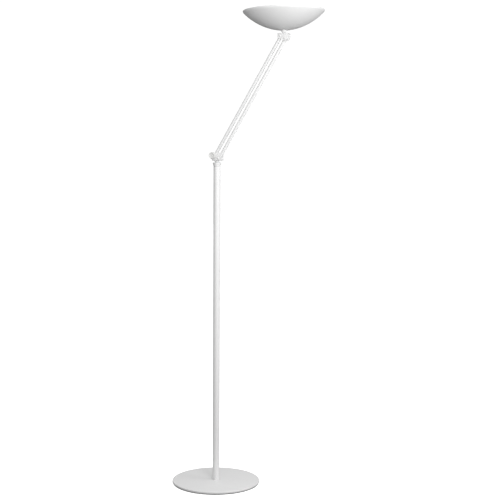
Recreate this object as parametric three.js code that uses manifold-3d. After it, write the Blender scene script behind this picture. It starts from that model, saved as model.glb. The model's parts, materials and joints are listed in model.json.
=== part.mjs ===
// Adjustable arm floor lamp: a round weighted base, a plain pole, a swivel head with a
// parallel two-tube arm, and a shallow dish that throws its light upward.
// Millimetres, +Z up. The arm leans toward +X, the hinge pins lie along Y, and the origin
// is on the floor under the middle of the base.
import * as THREE from 'three';
import { mergeVertices } from 'three/addons/utils/BufferGeometryUtils.js';
import Module from 'manifold-3d';

const wasm = await Module();
wasm.setup();

// General
const GAP = 0.3; // clearance left between pieces that touch on the real lamp

// Base
const BASE_RADIUS = 170;
const BASE_TOP = 12;
const COVER_WALL = 1.4;
const COVER_EDGE_RADIUS = 3;
const COVER_RIM_Z = 3.1;
const PAD_RADIUS = 167;
const PAD_THICK = 2; // under the weight
const PAD_RIM_TOP = 3.6;
const PAD_RIM_WIDTH = 3.5;
const WEIGHT_RADIUS = 163;
const WEIGHT_TOP = 10.3;
const BOLT_RADIUS = 4;
const BOLT_TIP_Z = 34;

// Pole
const POLE_RADIUS = 13;
const POLE_BORE_RADIUS = 11.5;
const POLE_TOP = 1235;
const COLLAR_TOP = 1250;
const COLLAR_RADIUS = 16;

// Swivel and elbow
const ELBOW_Z = 1272; // height of the point midway between the two elbow pins
const ELBOW_X = 1.4;
const SPINDLE_RADIUS = 5.5;
const NECK_RADIUS = 8.5;
const SHEET = 2; // thickness of the folded brackets
const BRACKET_HALF_WIDTH = 13;

// Arm
const ARM_LENGTH = 517; // pin to pin
const ARM_LEAN = THREE.MathUtils.degToRad(30.6); // from upright, as it stands
const PIN_SPACING = 20.7;
const PIN_DROP = THREE.MathUtils.degToRad(30); // the front pin sits below the rear one
const TUBE_RADIUS = 6.25;
const TUBE_BORE_RADIUS = 5;
const BARREL_HALF_WIDTH = 10.6;
const RIVET_RADIUS = 2.5;
const CLAMP_SCREW_RADIUS = 2.9;

// Knob
const KNOB_RADIUS = 12.7;
const KNOB_BACK_Y = -15.2;
const KNOB_FRONT_Y = -36;

// Dish and its light source
const STEM_OFFSET_X = 2; // the stem stands this far in front of the middle of the wrist pins
const DISH_RADIUS = 152;
const DISH_DEPTH = 72;
const DISH_LIP = 3.5; // upright edge at the rim
const DISH_THICK = 1;
const DISH_LIFT = 24.5; // underside of the dish above the middle of the wrist pins
// The stem and the dish stand a little out of true: the front and right edges sit high.
const DISH_TILT_SIDE = THREE.MathUtils.degToRad(1.6);
const DISH_TILT_FRONT = THREE.MathUtils.degToRad(0.9);
const STEM_RADIUS = 4.7;
const SINK_RADIUS = 50;

// Pin positions
const halfPinX = 0.5 * PIN_SPACING * Math.cos(PIN_DROP);
const halfPinZ = 0.5 * PIN_SPACING * Math.sin(PIN_DROP);
const wristX = ELBOW_X + ARM_LENGTH * Math.sin(ARM_LEAN);
const wristZ = ELBOW_Z + ARM_LENGTH * Math.cos(ARM_LEAN);

const COLOURS = {
  whitePaint: [0xe9e9e6, 0.4, 0.2],
  zincSteel: [0xb4b6b8, 0.35, 0.9],
  castIron: [0x4a4a4c, 0.8, 0.4],
  rubber: [0x2c2c2e, 0.9, 0],
  whitePlastic: [0xe4e4e2, 0.3, 0],
  nylon: [0xd8d6cf, 0.6, 0],
  brass: [0xb8964f, 0.3, 0.9],
  aluminium: [0xc3c5c8, 0.35, 0.9],
  board: [0xf2f2ee, 0.5, 0],
  opal: [0xf6f5f0, 0.35, 0],
};

const group = new THREE.Group();
group.name = 'arm_floor_lamp';

function material(kind) {
  const [color, roughness, metalness] = COLOURS[kind];
  return new THREE.MeshStandardMaterial({ color, roughness, metalness });
}

// Solids -------------------------------------------------------------------------------

function signedVolume(position, index) {
  const a = new THREE.Vector3();
  const b = new THREE.Vector3();
  const c = new THREE.Vector3();
  let sum = 0;
  for (let i = 0; i < index.length; i += 3) {
    a.fromBufferAttribute(position, index[i]);
    b.fromBufferAttribute(position, index[i + 1]);
    c.fromBufferAttribute(position, index[i + 2]);
    sum += a.dot(b.cross(c)) / 6;
  }
  return sum;
}

function solid(geometry) {
  const bare = geometry.clone();
  bare.deleteAttribute('normal');
  bare.deleteAttribute('uv');
  const merged = mergeVertices(bare, 1e-4);
  const position = merged.attributes.position;
  const index = [];
  for (let i = 0; i < merged.index.count; i += 3) {
    const [a, b, c] = [0, 1, 2].map((k) => merged.index.getX(i + k));
    if (a !== b && b !== c && a !== c) {
      index.push(a, b, c);
    }
  }
  if (signedVolume(position, index) < 0) {
    for (let i = 0; i < index.length; i += 3) {
      [index[i + 1], index[i + 2]] = [index[i + 2], index[i + 1]];
    }
  }
  const mesh = new wasm.Mesh({
    numProp: 3,
    vertProperties: new Float32Array(position.array),
    triVerts: new Uint32Array(index),
  });
  return new wasm.Manifold(mesh);
}

function toGeometry(body) {
  const mesh = body.getMesh();
  const geometry = new THREE.BufferGeometry();
  geometry.setAttribute('position', new THREE.BufferAttribute(mesh.vertProperties, 3));
  geometry.setIndex(new THREE.BufferAttribute(mesh.triVerts, 1));
  const flat = geometry.toNonIndexed();
  flat.computeVertexNormals();
  return flat;
}

// A turned piece about Z from [radius, height] points. A profile that does not touch the
// axis at both ends is closed on itself.
function turned(profile, segments) {
  const points = profile.map(([r, z]) => new THREE.Vector2(r, z));
  const onAxis = profile[0][0] === 0 && profile[profile.length - 1][0] === 0;
  if (!onAxis) {
    points.push(points[0].clone());
  }
  const geometry = new THREE.LatheGeometry(points, segments);
  geometry.rotateX(Math.PI / 2);
  return solid(geometry);
}

function rod(radius, from, to, segments = 24) {
  return turned([[0, from], [radius, from], [radius, to], [0, to]], segments);
}

function ring(inner, outer, from, to, segments = 32) {
  return turned([[inner, from], [outer, from], [outer, to], [inner, to]], segments);
}

// The same, lying along Y: the profile's height runs toward +Y.
function alongY(body) {
  return body.rotate([-90, 0, 0]);
}

// A flat plate in XZ with rounded corners, [x, z, corner radius] in order, from y0 to y1.
function plate(corners, y0, y1) {
  const shape = new THREE.Shape();
  const count = corners.length;
  corners.forEach(([x, z, radius], i) => {
    const here = new THREE.Vector2(x, z);
    const before = new THREE.Vector2(...corners[(i + count - 1) % count]);
    const after = new THREE.Vector2(...corners[(i + 1) % count]);
    const start = before.sub(here).setLength(radius).add(here);
    const end = after.sub(here).setLength(radius).add(here);
    if (i === 0) {
      shape.moveTo(start.x, start.y);
    } else {
      shape.lineTo(start.x, start.y);
    }
    shape.quadraticCurveTo(here.x, here.y, end.x, end.y);
  });
  shape.closePath();
  const geometry = new THREE.ExtrudeGeometry(shape, {
    depth: y1 - y0,
    bevelEnabled: false,
    curveSegments: 4,
  });
  geometry.rotateX(Math.PI / 2);
  return solid(geometry).translate([0, y1, 0]);
}

// A hexagon about Z, `flats` across its flat sides.
function hexagon(flats, from, to) {
  return rod(flats / Math.sqrt(3), from, to, 6);
}

function add(parent, name, kind, body) {
  const mesh = new THREE.Mesh(toGeometry(body), material(kind));
  mesh.name = name;
  parent.add(mesh);
  return mesh;
}

function place(name, parent, x, y, z) {
  const child = new THREE.Group();
  child.name = name;
  child.position.set(x, y, z);
  parent.add(child);
  return child;
}

// Base ---------------------------------------------------------------------------------

const base = place('base_group', group, 0, 0, 0);

// Soft pad that keeps the weight off the floor. Its raised rim holds the weight in place
// and shows as a dark line under the cover.
add(base, 'base_pad', 'rubber', turned([
  [0, 0],
  [PAD_RADIUS - 1, 0],
  [PAD_RADIUS, 0.6],
  [PAD_RADIUS, PAD_RIM_TOP],
  [PAD_RADIUS - PAD_RIM_WIDTH, PAD_RIM_TOP],
  [PAD_RADIUS - PAD_RIM_WIDTH, PAD_THICK],
  [0, PAD_THICK],
], 56));

// Cast disc with a counterbore for the bolt and a channel for the cord at the back.
const cordNotch = solid(new THREE.BoxGeometry(9, 60, 20)).translate([0, 140, 6]);
const weight = rod(WEIGHT_RADIUS, PAD_THICK + GAP, WEIGHT_TOP, 56)
  .subtract(rod(16, 0, 7.1, 28))
  .subtract(rod(BOLT_RADIUS + GAP, 0, 20))
  .subtract(cordNotch);
add(base, 'base_weight', 'castIron', weight);

// Pressed cover: flat top, rounded edge, straight skirt. A small notch at the back of the
// skirt takes the gland.
function coverProfile() {
  const points = [];
  const inside = COVER_EDGE_RADIUS - COVER_WALL;
  const centre = [BASE_RADIUS - COVER_EDGE_RADIUS, BASE_TOP - COVER_EDGE_RADIUS];
  points.push([BASE_RADIUS - COVER_WALL, COVER_RIM_Z], [BASE_RADIUS, COVER_RIM_Z]);
  for (let i = 0; i <= 4; i += 1) {
    const turn = (i / 4) * Math.PI / 2;
    points.push([
      centre[0] + COVER_EDGE_RADIUS * Math.cos(turn),
      centre[1] + COVER_EDGE_RADIUS * Math.sin(turn),
    ]);
  }
  points.push([BOLT_RADIUS + GAP, BASE_TOP], [BOLT_RADIUS + GAP, BASE_TOP - COVER_WALL]);
  for (let i = 2; i >= 0; i -= 1) {
    const turn = (i / 2) * Math.PI / 2;
    points.push([centre[0] + inside * Math.cos(turn), centre[1] + inside * Math.sin(turn)]);
  }
  return points;
}
const GLAND_Z = 6.9;
const glandHole = alongY(rod(3.5, 150, 190)).translate([0, 0, GLAND_Z]);
add(base, 'base_cover', 'whitePaint', turned(coverProfile(), 64).subtract(glandHole));

// Gland in the back of the skirt, for the cord.
add(base, 'cable_gland', 'rubber', alongY(turned([
  [2.2, BASE_RADIUS - 6],
  [3.2, BASE_RADIUS - 6],
  [3.2, BASE_RADIUS + 0.2],
  [3.8, BASE_RADIUS + 0.2],
  [3.8, BASE_RADIUS + 1.6],
  [3.1, BASE_RADIUS + 4],
  [2.2, BASE_RADIUS + 4],
], 24)).translate([0, 0, GLAND_Z]));

// Bolt and washer that pull the pole down onto the cover.
add(base, 'base_washer', 'zincSteel', ring(BOLT_RADIUS + GAP, 11, 5.8, 6.8));
add(base, 'base_bolt', 'zincSteel', hexagon(13, 2.6, 5.5)
  .add(rod(BOLT_RADIUS, 4, BOLT_TIP_Z)));

// Pole ---------------------------------------------------------------------------------

const pole = place('pole_group', group, 0, 0, 0);

add(pole, 'pole_tube', 'whitePaint', turned([
  [POLE_BORE_RADIUS, BASE_TOP + GAP],
  [POLE_RADIUS, BASE_TOP + GAP],
  [POLE_RADIUS, POLE_TOP],
  [POLE_BORE_RADIUS, POLE_TOP],
], 48));

// Tapped plug in the foot of the pole.
add(pole, 'pole_foot_plug', 'zincSteel', ring(
  BOLT_RADIUS + GAP,
  POLE_BORE_RADIUS - GAP,
  BASE_TOP + GAP,
  BASE_TOP + 28,
));

// Collar: a turned plug that flares out at the top of the pole and carries the swivel.
add(pole, 'pole_collar', 'whitePaint', turned([
  [SPINDLE_RADIUS + 2, POLE_TOP - 25],
  [POLE_BORE_RADIUS - GAP, POLE_TOP - 25],
  [POLE_BORE_RADIUS - GAP, POLE_TOP + GAP],
  [POLE_RADIUS, POLE_TOP + GAP],
  [POLE_RADIUS + 0.3, POLE_TOP + 2],
  [COLLAR_RADIUS - 0.2, COLLAR_TOP - 2.6],
  [COLLAR_RADIUS, COLLAR_TOP - 1.4],
  [COLLAR_RADIUS - 1, COLLAR_TOP],
  [SPINDLE_RADIUS + 2, COLLAR_TOP],
], 40));

// Flanged bush the swivel spindle turns in.
add(pole, 'swivel_bush', 'nylon', turned([
  [SPINDLE_RADIUS + GAP, POLE_TOP - 24],
  [SPINDLE_RADIUS + 2 - GAP, POLE_TOP - 24],
  [SPINDLE_RADIUS + 2 - GAP, COLLAR_TOP + GAP],
  [NECK_RADIUS + 0.6, COLLAR_TOP + GAP],
  [NECK_RADIUS + 0.6, COLLAR_TOP + 1.4],
  [SPINDLE_RADIUS + GAP, COLLAR_TOP + 1.4],
], 24));

// Swivel head --------------------------------------------------------------------------

const head = place('head_group', group, 0, 0, 0);
const yokeFloor = ELBOW_Z - 15.7;

// Hollow spindle, its shoulder under the yoke and its top peened over inside the yoke.
add(head, 'swivel_spindle', 'whitePaint', turned([
  [2.6, POLE_TOP - 38],
  [SPINDLE_RADIUS, POLE_TOP - 38],
  [SPINDLE_RADIUS, COLLAR_TOP + 1.7],
  [NECK_RADIUS, COLLAR_TOP + 1.7],
  [NECK_RADIUS, yokeFloor - GAP],
  [5, yokeFloor - GAP],
  [5, yokeFloor + SHEET + GAP],
  [7, yokeFloor + SHEET + GAP],
  [6.2, yokeFloor + SHEET + 1.6],
  [2.6, yokeFloor + SHEET + 1.6],
], 24));

// Wave washer and nut on the spindle, inside the pole.
add(head, 'swivel_washer', 'zincSteel', ring(
  SPINDLE_RADIUS + GAP,
  10,
  POLE_TOP - 26.6,
  POLE_TOP - 25.4,
));
add(head, 'swivel_nut', 'zincSteel', hexagon(17, POLE_TOP - 35, POLE_TOP - 27)
  .subtract(rod(SPINDLE_RADIUS + GAP, POLE_TOP - 40, POLE_TOP)));

// A folded channel: floor (or roof) and two cheeks, long in X, with rounded folds.
function channel(x0, x1, floorZ, openZ) {
  const up = Math.sign(openZ - floorZ);
  const w = BRACKET_HALF_WIDTH;
  const outer = plate([
    [-w, floorZ, 4],
    [w, floorZ, 4],
    [w, openZ, 0.01],
    [-w, openZ, 0.01],
  ], x0, x1);
  const inner = plate([
    [SHEET - w, floorZ + up * SHEET, 1.5],
    [w - SHEET, floorZ + up * SHEET, 1.5],
    [w - SHEET, openZ + up * 5, 0.01],
    [SHEET - w, openZ + up * 5, 0.01],
  ], x0 - 5, x1 + 5);
  return outer.subtract(inner).rotate([0, 0, -90]);
}

// Pin holes through both cheeks.
function pinHole(x, z, radius) {
  return alongY(rod(radius, -40, 40)).translate([x, 0, z]);
}

const elbowRear = [ELBOW_X - halfPinX, ELBOW_Z + halfPinZ];
const elbowFront = [ELBOW_X + halfPinX, ELBOW_Z - halfPinZ];
const yokeOutline = plate([
  [-17, yokeFloor, 8],
  [22, yokeFloor, 3],
  [22, ELBOW_Z + 15, 5],
  [-17, ELBOW_Z + 15, 5],
], -20, 20);
const yoke = channel(-30, 30, yokeFloor, ELBOW_Z + 25)
  .intersect(yokeOutline)
  .subtract(pinHole(...elbowRear, CLAMP_SCREW_RADIUS + GAP))
  .subtract(pinHole(...elbowFront, RIVET_RADIUS + GAP))
  .subtract(rod(5 + GAP, yokeFloor - 5, yokeFloor + 5));
add(head, 'elbow_yoke', 'whitePaint', yoke);

// A rivet with a low round head on each cheek.
function rivet() {
  const face = BRACKET_HALF_WIDTH + GAP;
  return alongY(turned([
    [0, -face - 2.4],
    [3, -face - 1.9],
    [5, -face],
    [RIVET_RADIUS, -face],
    [RIVET_RADIUS, face],
    [5, face],
    [3, face + 1.9],
    [0, face + 2.4],
  ], 18));
}

const rearPinElbow = place('elbow_rear_pin', head, elbowRear[0], 0, elbowRear[1]);
const frontPinElbow = place('elbow_front_pin', head, elbowFront[0], 0, elbowFront[1]);
add(frontPinElbow, 'elbow_rivet', 'whitePaint', rivet());

// Clamp screw: round head at the back, threaded tail reaching into the knob.
add(rearPinElbow, 'clamp_screw', 'whitePaint', alongY(turned([
  [0, -29],
  [2.4, -29],
  [CLAMP_SCREW_RADIUS, -28.3],
  [CLAMP_SCREW_RADIUS, BRACKET_HALF_WIDTH + GAP],
  [6.4, BRACKET_HALF_WIDTH + GAP],
  [6, BRACKET_HALF_WIDTH + 2],
  [3.4, BRACKET_HALF_WIDTH + 3.4],
  [0, BRACKET_HALF_WIDTH + 3.7],
], 24)));

// Washers: friction discs inside the cheeks, a plain one under the knob.
const frictionDisc = () => alongY(ring(CLAMP_SCREW_RADIUS + GAP, 6.2, 8.5, 10.7, 24));
add(rearPinElbow, 'friction_disc_back', 'nylon', frictionDisc());
add(rearPinElbow, 'friction_disc_front', 'nylon', frictionDisc().mirror([0, 1, 0]));
add(rearPinElbow, 'clamp_washer', 'zincSteel', alongY(
  ring(CLAMP_SCREW_RADIUS + GAP, 7.5, -BRACKET_HALF_WIDTH - 1.7, -BRACKET_HALF_WIDTH - GAP, 28),
));

// Clamp knob ---------------------------------------------------------------------------

const knob = place('knob_group', rearPinElbow, 0, 0, 0);

// Hollow-backed grip with a short hub and a rounded front edge.
add(knob, 'clamp_knob', 'whitePlastic', alongY(turned([
  [0, KNOB_FRONT_Y],
  [KNOB_RADIUS - 3, KNOB_FRONT_Y],
  [KNOB_RADIUS - 0.9, KNOB_FRONT_Y + 0.9],
  [KNOB_RADIUS, KNOB_FRONT_Y + 3],
  [KNOB_RADIUS, KNOB_BACK_Y - 6.2],
  [KNOB_RADIUS - 1.2, KNOB_BACK_Y - 5],
  [8.6, KNOB_BACK_Y - 4],
  [8.2, KNOB_BACK_Y],
  [6.1, KNOB_BACK_Y],
  [6.1, -30.3],
  [0, -30.3],
], 40)));

// Tapped insert moulded into the knob.
add(knob, 'knob_insert', 'brass', alongY(
  ring(CLAMP_SCREW_RADIUS + GAP, 5.8, -30, KNOB_BACK_Y - 0.3, 24),
));

// Arm ----------------------------------------------------------------------------------

// One end piece: a cross barrel on the pin, a short neck, and a spigot inside the tube.
// It is drawn for the lower end, with the arm running toward +Z.
function armEnd(pinRadius, halfWidth) {
  return alongY(rod(TUBE_RADIUS, -halfWidth, halfWidth, 24))
    .add(rod(TUBE_RADIUS - 0.05, 0, 9, 24))
    .add(rod(TUBE_BORE_RADIUS - GAP, 0, 26, 16))
    .subtract(alongY(rod(pinRadius + GAP, -20, 20, 20)));
}

function armTube() {
  return ring(TUBE_BORE_RADIUS, TUBE_RADIUS, 9.3, ARM_LENGTH - 9.3, 28);
}

const rearArm = place('rear_arm_group', rearPinElbow, 0, 0, 0);
rearArm.rotation.y = ARM_LEAN;
add(rearArm, 'rear_tube', 'whitePaint', armTube());
add(rearArm, 'rear_tube_low_end', 'whitePaint', armEnd(CLAMP_SCREW_RADIUS, 8.2));
const rearTop = add(rearArm, 'rear_tube_top_end', 'whitePaint',
  armEnd(RIVET_RADIUS, BARREL_HALF_WIDTH));
rearTop.position.z = ARM_LENGTH;
rearTop.rotation.x = Math.PI;

const frontArm = place('front_arm_group', frontPinElbow, 0, 0, 0);
frontArm.rotation.y = ARM_LEAN;
add(frontArm, 'front_tube', 'whitePaint', armTube());
add(frontArm, 'front_tube_low_end', 'whitePaint', armEnd(RIVET_RADIUS, BARREL_HALF_WIDTH));
const frontTop = add(frontArm, 'front_tube_top_end', 'whitePaint',
  armEnd(RIVET_RADIUS, BARREL_HALF_WIDTH));
frontTop.position.z = ARM_LENGTH;
frontTop.rotation.x = Math.PI;

// Wrist --------------------------------------------------------------------------------

const wrist = place('wrist_group', group, wristX, 0, wristZ);
const roof = 13.9;
const wristRear = [-halfPinX, halfPinZ];
const wristFront = [halfPinX, -halfPinZ];

// Folded bracket, open at the bottom, its cheeks cut on a slant below the two pins.
const wristOutline = plate([
  [-20, roof, 3],
  [-20, -3, 5],
  [7, -14, 3],
  [15, -14, 4.5],
  [22.7, -6, 5],
  [22.7, roof, 3],
], -20, 20);
add(wrist, 'wrist_bracket', 'whitePaint', channel(-30, 30, roof, -25)
  .intersect(wristOutline)
  .subtract(pinHole(...wristRear, RIVET_RADIUS + GAP))
  .subtract(pinHole(...wristFront, RIVET_RADIUS + GAP))
  .subtract(rod(4.3, 0, 40).translate([STEM_OFFSET_X, 0, 0])));

const rearPinWrist = place('wrist_rear_pin', wrist, wristRear[0], 0, wristRear[1]);
add(rearPinWrist, 'wrist_rivet_rear', 'whitePaint', rivet());
const frontPinWrist = place('wrist_front_pin', wrist, wristFront[0], 0, wristFront[1]);
add(frontPinWrist, 'wrist_rivet_front', 'whitePaint', rivet());

// Dish ---------------------------------------------------------------------------------

// Heights in this group are above the underside of the dish.
const dish = place('dish_group', wrist, STEM_OFFSET_X, 0, DISH_LIFT);
const roofTop = roof - DISH_LIFT;

// Everything above the bracket shares one slight tilt about the foot of the stem.
const lean = place('lean_group', dish, 0, 0, roofTop);
lean.rotation.set(-DISH_TILT_FRONT, -DISH_TILT_SIDE, 0);
const bowl = place('bowl_group', lean, 0, 0, -roofTop);
const STEM_HOLE = STEM_RADIUS + 0.8;

// Hollow threaded stem, its foot let into the bracket.
add(bowl, 'dish_stem', 'zincSteel', turned([
  [2.6, roofTop - 2],
  [4, roofTop - 2],
  [4, roofTop + 2 * GAP],
  [STEM_RADIUS, roofTop + 2 * GAP],
  [STEM_RADIUS, 15.4],
  [2.6, 15.4],
], 24));

// Cone between the bracket and the dish.
add(bowl, 'dish_boss', 'whitePaint', turned([
  [STEM_HOLE, roofTop + 0.8],
  [STEM_HOLE + 1, roofTop + 0.8],
  [STEM_HOLE + 1.2, -8],
  [12.6, -1.2],
  [13, -GAP],
  [STEM_HOLE, -GAP],
], 36));

// Spun dish: a shallow bowl that ends in a short upright lip.
function dishHeight(radius) {
  const share = Math.min(radius / DISH_RADIUS, 1);
  return (DISH_DEPTH - DISH_LIP) * (1 - (1 - share ** 2) ** 0.9);
}

function dishProfile() {
  const steps = 10;
  const outside = [];
  for (let i = 0; i <= steps; i += 1) {
    const radius = STEM_HOLE + (DISH_RADIUS - STEM_HOLE) * (i / steps);
    outside.push(new THREE.Vector2(radius, dishHeight(radius)));
  }
  outside.push(new THREE.Vector2(DISH_RADIUS, DISH_DEPTH));
  const last = outside.length - 1;
  const inside = outside.map((point, i) => {
    const before = outside[Math.max(i - 1, 0)];
    const after = outside[Math.min(i + 1, last)];
    const along = after.clone().sub(before).normalize();
    return new THREE.Vector2(point.x - along.y * DISH_THICK, point.y + along.x * DISH_THICK);
  });
  inside[0].x = STEM_HOLE;
  inside[last].y = DISH_DEPTH;
  return [...outside, ...inside.reverse()].map((point) => [point.x, point.y]);
}
add(bowl, 'dish_shell', 'whitePaint', turned(dishProfile(), 60));

// Washer and nut that hold the dish down on its cone.
add(bowl, 'dish_washer', 'zincSteel', ring(STEM_HOLE, 12, 1.8, 3));
add(bowl, 'dish_nut', 'zincSteel', hexagon(16, 3.3, 8.3)
  .subtract(rod(STEM_HOLE, 0, 20)));

// Light source: a finned disc screwed to the stem, a round board and a domed diffuser.
const sinkBody = turned([
  [STEM_HOLE, 8.6],
  [12, 8.6],
  [12, 12],
  [SINK_RADIUS, 12],
  [SINK_RADIUS, 15.5],
  [STEM_HOLE, 15.5],
], 40);
add(bowl, 'led_heat_sink', 'aluminium', sinkBody);
add(bowl, 'led_board', 'board', ring(4, 44, 15.9, 17.5, 36));

function diffuserProfile() {
  const outside = [];
  const inside = [];
  for (let i = 0; i <= 4; i += 1) {
    const turn = (i / 4) * Math.PI / 2;
    outside.push([52 * Math.cos(turn), 20 + 14 * Math.sin(turn)]);
    inside.push([50.3 * Math.cos(turn), 19.7 + 12.4 * Math.sin(turn)]);
  }
  outside[4][0] = 0;
  inside[4][0] = 0;
  return [...outside.reverse(), [52, 10.5], [50.3, 10.5], ...inside];
}
add(bowl, 'led_diffuser', 'opal', turned(diffuserProfile(), 40));

export default group;
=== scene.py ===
"""Adjustable arm floor lamp: white uplighter on a round base, with a parallel two-tube arm."""

import json
import math

import bmesh
import bpy
from mathutils import Matrix, Vector


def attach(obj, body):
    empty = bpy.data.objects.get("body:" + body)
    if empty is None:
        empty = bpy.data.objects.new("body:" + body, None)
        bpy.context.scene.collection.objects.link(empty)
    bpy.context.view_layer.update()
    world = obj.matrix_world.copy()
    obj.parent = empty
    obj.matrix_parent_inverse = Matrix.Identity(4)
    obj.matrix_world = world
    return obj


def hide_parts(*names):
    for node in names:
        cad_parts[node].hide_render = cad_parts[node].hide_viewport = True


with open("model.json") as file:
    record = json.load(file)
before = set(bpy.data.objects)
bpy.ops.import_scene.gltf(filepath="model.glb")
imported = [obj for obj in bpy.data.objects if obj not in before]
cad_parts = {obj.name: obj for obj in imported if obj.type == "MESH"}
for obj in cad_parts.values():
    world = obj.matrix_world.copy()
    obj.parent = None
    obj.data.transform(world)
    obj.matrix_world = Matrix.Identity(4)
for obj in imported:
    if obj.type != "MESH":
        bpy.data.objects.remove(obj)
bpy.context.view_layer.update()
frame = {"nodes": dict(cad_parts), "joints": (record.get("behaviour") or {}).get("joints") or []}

# ------------------------------------------------------------------------------------
# Camera. It stands a little over four metres from the pole, at chest height, and looks
# slightly down and to the right of the pole with a long lens.
VIEW_TURN = math.radians(22.19)
CAMERA_DISTANCE = 4.387
CAMERA_HEIGHT = 1.3085
LOOK_DOWN = math.radians(5.128)
LOOK_RIGHT = math.radians(1.675)
CAMERA_ROLL = math.radians(-0.337)
LENS_MM = 82.32

heading = VIEW_TURN - LOOK_RIGHT
forward = Vector((
    -math.sin(heading) * math.cos(LOOK_DOWN),
    math.cos(heading) * math.cos(LOOK_DOWN),
    -math.sin(LOOK_DOWN),
))
level_right = Vector((math.cos(heading), math.sin(heading), 0))
level_up = level_right.cross(forward)
camera_right = level_right * math.cos(CAMERA_ROLL) - level_up * math.sin(CAMERA_ROLL)
camera_up = level_right * math.sin(CAMERA_ROLL) + level_up * math.cos(CAMERA_ROLL)

camera_data = bpy.data.cameras.new("studio_camera")
camera_data.lens = LENS_MM
camera_data.sensor_width = 36
camera_data.clip_end = 60
camera = bpy.data.objects.new("studio_camera", camera_data)
camera.matrix_world = Matrix.Translation((
    CAMERA_DISTANCE * math.sin(VIEW_TURN),
    -CAMERA_DISTANCE * math.cos(VIEW_TURN),
    CAMERA_HEIGHT,
)) @ Matrix((camera_right, camera_up, -forward)).transposed().to_4x4()
bpy.context.scene.collection.objects.link(camera)
bpy.context.scene.camera = camera
bpy.context.scene.view_settings.view_transform = "Standard"

# ------------------------------------------------------------------------------------
# Studio. A pale seamless floor, a soft box in front, another on the right, a wide one
# overhead, and a dim white room all round so that the left-hand sides fall into soft grey.
# Floor and room are brighter to the camera than to the lamp, so both look plain white.
ROOM_LIGHT = 0.56
SEEN_ROOM = 1.05
FRONT_WATTS = 30
SIDE_WATTS = 18
TOP_WATTS = 11
SEEN_FLOOR = 0.72
FLOOR_REACH = 14
FLOOR_DROP = 0.0003


class Shade:
    """A number in a shader, which adds, subtracts and multiplies like one in Python."""

    def __init__(self, socket):
        self.socket = socket
        self.tree = socket.id_data

    def math(self, operation, *others, first=False):
        node = self.tree.nodes.new("ShaderNodeMath")
        node.operation = operation
        terms = [*others, self] if first else [self, *others]
        for slot, term in zip(node.inputs, terms):
            if isinstance(term, Shade):
                self.tree.links.new(term.socket, slot)
            else:
                slot.default_value = term
        return Shade(node.outputs[0])

    def __add__(self, other):
        return self.math("ADD", other)

    __radd__ = __add__

    def __sub__(self, other):
        return self.math("SUBTRACT", other)

    def __rsub__(self, other):
        return self.math("SUBTRACT", other, first=True)

    def __mul__(self, other):
        return self.math("MULTIPLY", other)

    __rmul__ = __mul__

    def clamped(self, low=0.0, high=1.0):
        return self.math("MAXIMUM", low).math("MINIMUM", high)


class Finish:
    """One material: its Principled shader and the nodes that feed it."""

    def __init__(self, name, **fixed):
        self.material = bpy.data.materials.new(name)
        self.material.use_nodes = True
        self.tree = self.material.node_tree
        self.shader = self.tree.nodes["Principled BSDF"]
        for socket, value in fixed.items():
            self.set(self.shader.inputs[socket.replace("_", " ")], value)
        self.place = self.node("TexCoord", output="Object")

    def set(self, socket, value):
        if isinstance(value, Shade):
            self.tree.links.new(value.socket, socket)
        elif isinstance(value, tuple) and len(value) == 3 and socket.type == "RGBA":
            socket.default_value = (*value, 1)
        else:
            socket.default_value = value

    def node(self, kind, settings=None, output=0, **sockets):
        node = self.tree.nodes.new("ShaderNode" + kind)
        for name, value in (settings or {}).items():
            setattr(node, name, value)
        for name, value in sockets.items():
            key = int(name[1:]) if name[0] == "n" and name[1:].isdigit() else name
            self.set(node.inputs[key], value)
        return Shade(node.outputs[output])

    def noise(self, per_metre, detail=2.0, roughness=0.5):
        return self.node("TexNoise", Vector=self.place, Scale=per_metre, Detail=detail,
                         Roughness=roughness)

    def axes(self):
        split = self.node("SeparateXYZ", Vector=self.place).socket.node
        return [Shade(socket) for socket in split.outputs]

    def blend(self, share, low, high):
        return self.node("Mix", {"data_type": "RGBA"}, output=2, n0=share, n6=low, n7=high)

    def feed(self, socket, value):
        self.set(self.shader.inputs[socket], value)

    def bump(self, height, distance, strength=1.0):
        self.feed("Normal", self.node("Bump", Strength=strength, Distance=distance,
                                      Height=height))


floor_mesh = bpy.data.meshes.new("studio_floor")
floor_mesh.from_pydata(
    [(x * FLOOR_REACH, y * FLOOR_REACH, -FLOOR_DROP)
     for x, y in ((-1, -1), (1, -1), (1, 1), (-1, 1))],
    [], [(0, 1, 2, 3)])
studio_floor = bpy.data.objects.new("studio_floor", floor_mesh)
bpy.context.scene.collection.objects.link(studio_floor)
floor_paper = Finish("pale_paper", Roughness=0.9)
floor_paper.feed("Base Color", floor_paper.blend(
    floor_paper.noise(3.0), (0.21, 0.21, 0.21), (0.24, 0.24, 0.24)))
seen_paper = floor_paper.tree.nodes.new("ShaderNodeBsdfPrincipled")
seen_paper.inputs["Base Color"].default_value = (0.90, 0.90, 0.90, 1)
seen_paper.inputs["Roughness"].default_value = 0.9
seen_paper.inputs["Emission Color"].default_value = (1, 1, 1, 1)
seen_paper.inputs["Emission Strength"].default_value = SEEN_FLOOR
paper_mix = floor_paper.tree.nodes.new("ShaderNodeMixShader")
paper_path = floor_paper.tree.nodes.new("ShaderNodeLightPath")
paper_out = floor_paper.tree.nodes["Material Output"]
floor_paper.tree.links.new(paper_path.outputs["Is Camera Ray"], paper_mix.inputs[0])
floor_paper.tree.links.new(floor_paper.shader.outputs[0], paper_mix.inputs[1])
floor_paper.tree.links.new(seen_paper.outputs[0], paper_mix.inputs[2])
floor_paper.tree.links.new(paper_mix.outputs[0], paper_out.inputs["Surface"])
studio_floor.data.materials.append(floor_paper.material)

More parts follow.
